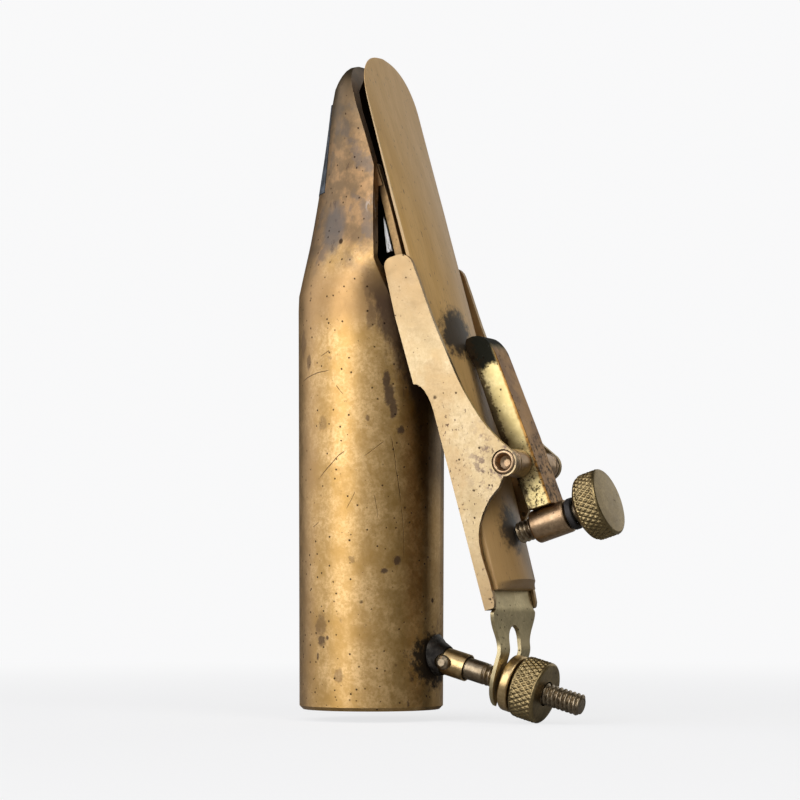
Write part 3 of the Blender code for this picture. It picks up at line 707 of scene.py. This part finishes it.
def lever_marks(paint, colour):
    """Brown outer face, bright yellow sides, a near-black toe, soot round the pivot, and painted shade along the
    edge by the reed.
    """
    outward = paint.along(REED_OUT, on_reed(0, 0, 0))
    upward = paint.along(REED_UP, on_reed(0, 0, 0))
    slope = paint.linear(upward, LEVER_TAPER, outward)
    ragged = paint.linear(paint.noise(0.8, 3.0), 0.5, -0.25)
    face = paint.ramp(paint.plus(slope, ragged), 12.0, 12.35)
    patches = paint.ramp(paint.noise(4.0, 4.0), 0.4, 0.62)
    brown = paint.mix((0.19, 0.092, 0.022), (0.33, 0.175, 0.05), patches)
    colour = paint.mix(colour, brown, face)
    toe_edge = paint.linear(paint.noise(1.6, 5.0, 0.7), 5.0, -2.5)
    side = paint.ramp(paint.plus(slope, ragged), 12.5, 11.9)
    # the toe darkened to near black, flecked with grey grit
    toe = paint.times(paint.ramp(paint.plus(upward, toe_edge), 40.2, 41.4), side)
    grit = paint.ramp(paint.noise(0.25, 2.0, 0.6), 0.7, 0.76)
    black = paint.mix((0.010, 0.012, 0.011), (0.16, 0.17, 0.15), grit)
    colour = paint.over(colour, black, toe, 0.97)
    root = paint.ramp(paint.plus(paint.linear(slope, -1.1, upward), toe_edge), 17.0, 14.5)
    speckle = paint.ramp(paint.noise(0.7, 4.0, 0.7, shift=(4, 4, 1)), 0.5, 0.6)
    root = paint.times(root, speckle)
    colour = paint.over(colour, (0.03, 0.02, 0.012), root, 0.85)
    # painted shade: the lever's edge by the reed darkened, where it faces into the gap
    shade_edge_noise = paint.linear(paint.noise(0.8, 5.0, 0.75), 3.6, -1.8)
    inner_shade = paint.ramp(paint.plus(slope, shade_edge_noise), 10.0, 9.3)
    colour = paint.over(colour, (0.045, 0.028, 0.014), inner_shade, 0.85)
    pits = paint.ramp(paint.noise(0.5, 3.0, 0.65, shift=(2, 5, 8)), 0.61, 0.66)
    pits = paint.times(pits, paint.ramp(paint.plus(upward, toe_edge), 31.0, 24.0))
    colour = paint.over(colour, (0.03, 0.018, 0.010), pits, 0.85)
    return colour, paint.either(toe, paint.times(root, 0.5))


def cane():
    """Waxed ochre cane: fine grain along the reed, small dark pores, painted shadow under the clamp's ends."""
    paint = Paint("reed_cane", 0.0)
    turn = (0, -TABLE_ANGLE, 0)
    grain = paint.noise(0.16, 4.0, 0.6, stretch=(1, 1, 26), turn=turn)
    broad = paint.noise(2.2, 3.0, 0.5, stretch=(1, 1, 6), turn=turn)
    colour = paint.mix((0.55, 0.325, 0.105), (0.61, 0.375, 0.14), paint.ramp(broad, 0.35, 0.65))
    colour = paint.over(colour, (0.38, 0.225, 0.08), paint.ramp(grain, 0.5, 0.68), 0.45)
    pores = paint.noise(0.36, 2.0, 0.6, stretch=(1, 1, 3.4), turn=turn, shift=(5, 3, 0))
    pores = paint.ramp(pores, 0.66, 0.71)
    colour = paint.over(colour, (0.07, 0.04, 0.02), pores, 0.7)
    upward = paint.along(REED_UP, on_reed(0, 0, 0))
    heel = paint.ramp(upward, 38.0, 26.0)
    colour = paint.over(colour, (0.30, 0.17, 0.06), heel, 0.6)
    # painted shadow: near-black patches on the reed under the lever's toe and under the clamp screw
    toe = paint.near(on_reed(3.0, -2.6, 46.5), (2.8, 4.2, 4.6), 0.45, 1.1)
    screw = paint.near(on_reed(3.3, -1.2, 18.5), (2.6, 3.4, 4.4), 0.6, 1.3)
    colour = paint.over(colour, (0.014, 0.013, 0.012), paint.either(toe, screw), 0.93)
    edge = paint.ramp(paint.math("ABSOLUTE", paint.axis("Y")), 7.5, 7.72)
    upper = paint.ramp(upward, 46.0, 60.0)
    colour = paint.over(colour, (0.60, 0.42, 0.21), paint.times(edge, upper), 0.7)
    paint.bump(grain, 0.012, 0.6)
    paint.bump(pores, -0.03, 0.6)
    paint.shader.inputs["Coat Weight"].default_value = 0.12
    paint.shader.inputs["Coat Roughness"].default_value = 0.35
    return paint.done(colour, paint.linear(grain, 0.2, 0.38))


def dark_matt(name, colour, rough):
    """Soot, old ebonite and dirt: near black, cloudy, faintly pitted."""
    paint = Paint(name, 0.0)
    cloud = paint.noise(1.6, 4.0, 0.6)
    lighter = tuple(min(c * 3.2 + 0.012, 1.0) for c in colour)
    mixed = paint.mix(colour, lighter, paint.ramp(cloud, 0.4, 0.72))
    paint.bump(paint.noise(0.3, 3.0), 0.02, 0.6)
    return paint.done(mixed, paint.linear(cloud, 0.25, rough - 0.12))


def silver_solder():
    """Flaky silver streaks over black flux."""
    paint = Paint("table_solder_silver", 0.4)
    flake = paint.noise(0.8, 5.0, 0.7, stretch=(1, 1, 5), turn=(0, -TABLE_ANGLE, 0))
    colour = paint.mix((0.05, 0.04, 0.035), (0.78, 0.77, 0.74), paint.ramp(flake, 0.44, 0.55))
    paint.bump(flake, 0.08, 0.8)
    return paint.done(colour, paint.linear(flake, -0.4, 0.62))


def make_materials():
    return {
        "tube": aged_metal(
            "tube_brass", (0.685, 0.455, 0.205), (0.43, 0.255, 0.08), 0.42, 0.6, zones=tube_marks
        ),
        "carrier": aged_metal(
            "carrier_brass", (0.54, 0.42, 0.25), (0.385, 0.285, 0.15), 0.42, 0.45, zones=carrier_marks
        ),
        "table": aged_metal(
            "table_brass", (0.30, 0.19, 0.085), (0.15, 0.095, 0.045), 0.4, 0.2
        ),
        "lever": aged_metal(
            "lever_brass", (0.66, 0.54, 0.27), (0.42, 0.33, 0.14), 0.36, 0.8, zones=lever_marks
        ),
        "knurl": aged_metal(
            "knurled_brass", (0.36, 0.27, 0.13), (0.20, 0.145, 0.065), 0.36, 0.12, shift=(2, 3, 4)
        ),
        "copper": aged_metal(
            "coppery_brass", (0.53, 0.37, 0.22), (0.28, 0.18, 0.10), 0.34, 0.3, shift=(5, 1, 4)
        ),
        "thread": aged_metal(
            "thread_steel_brown", (0.40, 0.32, 0.21), (0.16, 0.12, 0.075), 0.36, 0.2, shift=(5, 5, 4)
        ),
        "socket": aged_metal(
            "socket_brass", (0.66, 0.48, 0.24), (0.38, 0.26, 0.115), 0.32, 0.2, shift=(1, 6, 4)
        ),
        "nickel": aged_metal(
            "nickel_silver", (0.66, 0.55, 0.31), (0.42, 0.34, 0.185), 0.42, 0.35, shift=(8, 3, 4)
        ),
        "solder": silver_solder(),
        "cane": cane(),
        "bite": dark_matt("bite_plate_black", (0.022, 0.026, 0.032), 0.4),
        "root": aged_metal(
            "socket_root_dirt", (0.12, 0.11, 0.095), (0.014, 0.012, 0.011), 0.5, 0.4, shift=(3, 3, 3)
        ),
        "soot": dark_matt("soot_black", (0.012, 0.010, 0.009), 0.75),
    }


# ---------------------------------------------------------------- pieces


def reed_half_width(s):
    run = (s - REED_HEEL_S) / (66.0 - REED_HEEL_S)
    width = REED_HALF_HEEL + (REED_HALF_TIP - REED_HALF_HEEL) * min(max(run, 0.0), 1.0)
    run = min(max((s - REED_TIP_S + TIP_LENGTH) / TIP_LENGTH, 0.0), 1.0)
    return width * max(1.0 - run**2.3, 0.0) ** (1.0 / 2.3)


def make_reed(material):
    """The reed: flat underside, crowned bark and vamp, thin rounded tip, eased heel."""
    stations = [REED_HEEL_S + HEEL_CUT * i / 4 for i in range(5)]
    start = REED_HEEL_S + HEEL_CUT + 0.1
    stations += [start + (TIP_START - start) * i / 48 for i in range(49)]
    stations += [REED_TIP_S - 0.03 - TIP_LENGTH * (1 - i / 26) ** 1.9 for i in range(1, 27)]
    columns, points = 28, []
    for s in stations:
        ease = min(max((s - REED_HEEL_S) / HEEL_CUT, 0.0), 1.0)
        drop = HEEL_DROP * (1 - ease)
        crown = REED_THICK * (1 - 0.93 * smoothstep(44, 92, s)) - drop
        edge = 0.95 - 0.85 * smoothstep(30, 92, s)
        half = max(reed_half_width(s), 0.1)
        side = edge * 0.85
        for j in range(columns + 1):
            u = math.cos(math.pi * j / columns)
            top = REED_T + side + (crown - side) * (1 - u * u) ** 0.9
            points.append((top, half * u, s))
        points += [(REED_T + 0.08, -half, s), (REED_T, -half * 0.99, s)]
        points += [(REED_T, half * 0.99, s), (REED_T + 0.08, half, s)]
    count = columns + 5
    faces = ring_faces(len(stations), count)
    faces.append(list(range(count))[::-1])
    faces.append([(len(stations) - 1) * count + j for j in range(count)])
    finish_piece("reed_cane_blade", points, faces, REED, "reed_body", ["reed"], material, 42.0)


def make_lever(material):
    """The rocker lever: a thick bar with a rounded back and a nose turned to the reed."""
    back = smooth_path([(45.4, 4.9), (45.1, 6.0), (44.2, 6.9), (42.8, 7.55), (41.0, 7.85)], 5)
    back += [Vector((30.0, 9.25)), Vector((20.1, 10.28))]
    front = [Vector(p) for p in ((20.1, 6.78), (23.0, 6.5), (33.3, 5.0), (40.6, 4.35))]
    nose = smooth_path([(42.6, 3.85), (43.6, 3.68), (44.7, 3.66), (45.3, 4.0)], 4)
    outline = back + front + nose
    points = [(t, y, s) for y in (-LEVER_HALF, LEVER_HALF) for s, t in outline]
    count = len(outline)
    faces = [[j, (j + 1) % count, count + (j + 1) % count, count + j] for j in range(count)]
    faces.append(list(range(count))[::-1])
    faces.append([count + j for j in range(count)])
    lever = finish_piece(
        "lever_bar", points, [f[::-1] for f in faces], REED, "lever", ["clamp_lever"], material, 30.0
    )
    soften(lever, 0.3, 3)


def make_knobs(materials):
    """Both knurled knobs, with rounded rims and a slightly domed end face."""
    nut = [(1.7, 0.05), (3.75, 0.05), (NUT_RADIUS, 0.4), (NUT_RADIUS, 3.6)]
    nut += [(3.95, 3.92), (1.7, 3.92)]
    nut = filled(rounded(nut, 0.25), KNOB_STEP)
    knurl = diamond_knurl(0.35, 3.65, NUT_RADIUS)
    turned("nut_knurled", nut, STUD, ["knurled_nut"], materials["knurl"], 396, knurl, 50)
    head = [(0, 0.02), (3.1, 0.02), (4.3, 0.75), (HEAD_RADIUS, 1.3), (HEAD_RADIUS, 3.75)]
    head += [(4.38, 4.08), (2.4, 4.2), (0, 4.22)]
    head = filled(rounded(head, 0.4), KNOB_STEP)
    knurl = diamond_knurl(0.8, 3.85, HEAD_RADIUS)
    turned("knob_knurled", head, SCREW, ["clamp_screw_head"], materials["knurl"], 400, knurl, 50)


def make_stud_parts(materials):
    """The adjusting stud with its thread, and the collar round it."""
    stud = [(0, -12.5), (1.2, -12.5), (THREAD_RADIUS, -12.2), (THREAD_RADIUS, STUD_END - 0.3)]
    stud = filled(stud + [(1.2, STUD_END), (0, STUD_END)], THREAD_STEP)
    groove = thread(-5.6, STUD_END)
    turned("stud_threaded", stud, STUD, ["adjusting_stud"], materials["thread"], 64, groove)
    collar = rounded([(1.7, -1.65), (3.9, -1.65), (3.9, -0.2), (1.7, -0.2)], 0.3)
    turned("collar_ring", collar, STUD, ["thrust_collar"], materials["socket"], 112)


def make_clamp_parts(materials):
    """The clamp screw's shank, its sleeve and the washer."""
    shank = [(0, -9.85), (1.15, -9.85), (THREAD_RADIUS, -9.55), (THREAD_RADIUS, -0.3), (0, -0.3)]
    shank = filled(shank, THREAD_STEP)
    groove = thread(-9.8, -1.3)
    turned("clamp_screw_threaded", shank, SCREW, ["clamp_screw"], materials["thread"], 64, groove)
    low = BOSS_T - SCREW_HEAD_T
    boss = [(1.75, low), (2.05, low), (2.27, low + 0.25), (2.27, low + 5.1)]
    boss += [(2.1, low + 5.32), (1.75, low + 5.32)]
    turned("boss_sleeve", rounded(boss, 0.12), SCREW, ["screw_boss"], materials["copper"], 96)
    washer = rounded([(1.75, low + 5.6), (2.2, low + 5.6), (2.2, low + 6.4), (1.75, low + 6.4)], 0.15)
    turned("boss_washer_ring", washer, SCREW, ["boss_washer"], materials["soot"], 96)


def make_pivot(materials):
    """The hollow rivet and the grooved barrels on each side of the lever."""
    low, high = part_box("pivot_pin")
    reach = (high.y - low.y) / 2 / MM
    half = [(1.3, 0.0), (1.3, reach - 1.1), (1.62, reach - 0.7), (1.62, reach - 0.12), (1.4, reach)]
    half += [(1.2, reach - 0.02), (1.05, reach - 0.3), (0.95, reach - 1.1), (0.45, reach - 1.35)]
    outer = [(r, -h) for r, h in half[:0:-1]] + half[1:]
    profile = [(0, outer[0][1]), *outer, (0, outer[-1][1])]
    turned("pivot_rivet", rounded(profile, 0.08, 3), PIVOT, ["pivot_pin"], materials["copper"], 64)
    for node in ("pivot_spacer_near", "pivot_spacer_far"):
        low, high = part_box(node)
        a, b = low.y / MM, high.y / MM
        outer_end = a if a < 0 else b
        step = 1 if a < 0 else -1
        ring = [(1.5, a), (1.92, a), (1.92, b), (1.5, b)]
        groove = outer_end + step * 0.75

        def relief(angle, height, radius, groove=groove):
            return -0.16 * max(0.0, 1 - abs(height - groove) / 0.17) if radius > 1.7 else 0.0

        ring = filled(rounded(ring, 0.12), 0.06)
        copper = materials["copper"]
        turned(f"{node}_barrel", ring, PIVOT, [node], copper, 72, relief, 60)


def widen(piece, factor):
    """Spreads a piece across and upwards about its middle."""
    points = [v.co for v in piece.data.vertices]
    y = (min(p.y for p in points) + max(p.y for p in points)) / 2
    z = (min(p.z for p in points) + max(p.z for p in points)) / 2
    for p in points:
        p.y = y + (p.y - y) * factor
        p.z = z + (p.z - z) * factor


def make_skins(materials):
    """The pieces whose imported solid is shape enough."""
    finishes = {
        "mouthpiece_body": ("tube", 0.12),
        "table_plate": ("table", 0.12),
        "table_solder_near": ("solder", 0.05),
        "table_solder_far": ("solder", 0.05),
        "bite_plate": ("bite", 0.05),
        "stud_socket": ("socket", 0.12),
        "socket_solder": ("root", 0.0),
        "stud_pin": ("thread", 0.0),
        "hinge_lug_near": ("copper", 0.1),
        "hinge_lug_far": ("copper", 0.1),
        "hinge_pin": ("nickel", 0.05),
        "hinge_knuckle": ("copper", 0.1),
        "plate_rivet_1": ("copper", 0.05),
        "plate_rivet_2": ("copper", 0.05),
        "plate_rivet_3": ("copper", 0.05),
        "reed_channel": ("carrier", 0.2),
        "base_plate": ("nickel", 0.14),
    }
    made = {}
    for node, (finish, bevel) in finishes.items():
        made[node] = skin(node, materials[finish], bevel)
    widen(made["bite_plate"], BITE_SPREAD)


# ---------------------------------------------------------------- stage


def make_floor():
    """A pale floor: lit close to the object, and plain white further out, so no horizon shows."""
    paint = Paint("pale_floor", 0.0)
    cloud = paint.noise(160.0, 2.0)
    tree = paint.tree
    seen = tree.nodes.new("ShaderNodeLightPath").outputs["Is Camera Ray"]
    colour = paint.mix((0.80, 0.80, 0.805), (0.82, 0.82, 0.82), cloud)
    paint.done(paint.mix((0.3, 0.3, 0.3), colour, seen), 0.8)
    plain = tree.nodes.new("ShaderNodeEmission")
    plain.inputs["Color"].default_value = (*BACKGROUND, 1)
    distance = paint.near((0.0, 0.0, 0.0), 330.0, 0.75)
    far = paint.times(seen, paint.linear(distance, FLOOR_SHADOW - 1.0, 1.0))
    mix = tree.nodes.new("ShaderNodeMixShader")
    tree.links.new(far, mix.inputs[0])
    tree.links.new(paint.shader.outputs[0], mix.inputs[1])
    tree.links.new(plain.outputs[0], mix.inputs[2])
    tree.links.new(mix.outputs[0], tree.nodes["Material Output"].inputs["Surface"])
    mesh = bpy.data.meshes.new("floor")
    reach = 6.0  # metres
    corners = [(-reach, -reach, 0), (reach, -reach, 0), (reach, reach, 0), (-reach, reach, 0)]
    mesh.from_pydata(corners, [], [(0, 1, 2, 3)])
    mesh.materials.append(paint.material)
    floor = bpy.data.objects.new("floor", mesh)
    bpy.context.scene.collection.objects.link(floor)


def make_world():
    """A studio: plain white to the eye; reflections find it bright front left, dark on the right."""
    world = bpy.data.worlds.new("studio")
    bpy.context.scene.world = world
    world.use_nodes = True
    tree = world.node_tree
    plain = tree.nodes["Background"]
    plain.inputs["Color"].default_value = (*BACKGROUND, 1)
    studio = tree.nodes.new("ShaderNodeBackground")
    coordinates = tree.nodes.new("ShaderNodeTexCoord")
    facing = tree.nodes.new("ShaderNodeVectorMath")
    facing.operation = "DOT_PRODUCT"
    facing.inputs[1].default_value = BRIGHT_SIDE
    spread = tree.nodes.new("ShaderNodeMapRange")
    spread.inputs["From Min"].default_value = -1.0
    spread.inputs["From Max"].default_value = 1.0
    ramp = tree.nodes.new("ShaderNodeValToRGB")
    ramp.color_ramp.interpolation = "EASE"
    stops = ramp.color_ramp.elements
    while len(stops) < len(STUDIO_STOPS):
        stops.new(0.5)
    for stop, (place, value) in zip(stops, STUDIO_STOPS):
        # warmer where it is dim
        stop.position = place
        stop.color = (value * (1.06 - 0.08 * value), value, value * (0.76 + 0.32 * value), 1)
    seen = tree.nodes.new("ShaderNodeLightPath")
    mix = tree.nodes.new("ShaderNodeMixShader")
    links = tree.links
    links.new(coordinates.outputs["Generated"], facing.inputs[0])
    links.new(facing.outputs["Value"], spread.inputs["Value"])
    links.new(spread.outputs["Result"], ramp.inputs["Fac"])
    links.new(ramp.outputs["Color"], studio.inputs["Color"])
    links.new(seen.outputs["Is Camera Ray"], mix.inputs[0])
    links.new(studio.outputs[0], mix.inputs[1])
    links.new(plain.outputs[0], mix.inputs[2])
    links.new(mix.outputs[0], tree.nodes["World Output"].inputs["Surface"])


def aim(thing, target):
    thing.rotation_mode = "QUATERNION"
    thing.rotation_quaternion = (Vector(target) * MM - thing.location).to_track_quat("-Z", "Y")


def add_light(name, place, size, power, colour=(1, 1, 1)):
    light = bpy.data.lights.new(name, "AREA")
    light.shape = "RECTANGLE"
    light.size, light.size_y = size
    light.energy = power
    light.color = colour
    lamp = bpy.data.objects.new(name, light)
    lamp.location = Vector(place) * MM
    bpy.context.scene.collection.objects.link(lamp)
    aim(lamp, LIGHT_TARGET)


def make_lights():
    add_light("key_softbox", (-175, -520, 180), (0.36, 0.5), 1.75, (1.0, 0.99, 0.99))
    add_light("left_fill", (-520, -120, 160), (0.4, 0.5), 0.5)
    add_light("right_strip", (330, -200, 420), (0.2, 0.2), 0.8)
    add_light("back_softbox", (120, 560, 300), (0.5, 0.5), 0.6)


def make_camera():
    """The camera: low, about 27 degrees round towards the reed, looking slightly up."""
    right = Vector(VIEW_ACROSS)
    level = math.cos(CAMERA_TILT)
    ahead = Vector((-right.y * level, right.x * level, -math.sin(CAMERA_TILT)))
    up = right.cross(ahead)
    middle = Vector((TUBE_X, 0, CAMERA_HEIGHT)) + right * CAMERA_SHIFT
    data = bpy.data.cameras.new("camera")
    data.sensor_width = 36
    data.lens = CAMERA_LENS
    data.clip_start = 0.01
    camera = bpy.data.objects.new("camera", data)
    turn = Matrix((right, up, -ahead)).transposed().to_4x4()
    camera.matrix_world = Matrix.Translation((middle - ahead * CAMERA_DISTANCE) * MM) @ turn
    bpy.context.scene.collection.objects.link(camera)
    bpy.context.scene.camera = camera


def main():
    materials = make_materials()
    make_skins(materials)
    make_knobs(materials)
    make_stud_parts(materials)
    make_clamp_parts(materials)
    make_pivot(materials)
    make_lever(materials["lever"])
    make_reed(materials["cane"])
    make_floor()
    make_world()
    make_lights()
    make_camera()
    bpy.context.scene.view_settings.view_transform = "Standard"


main()
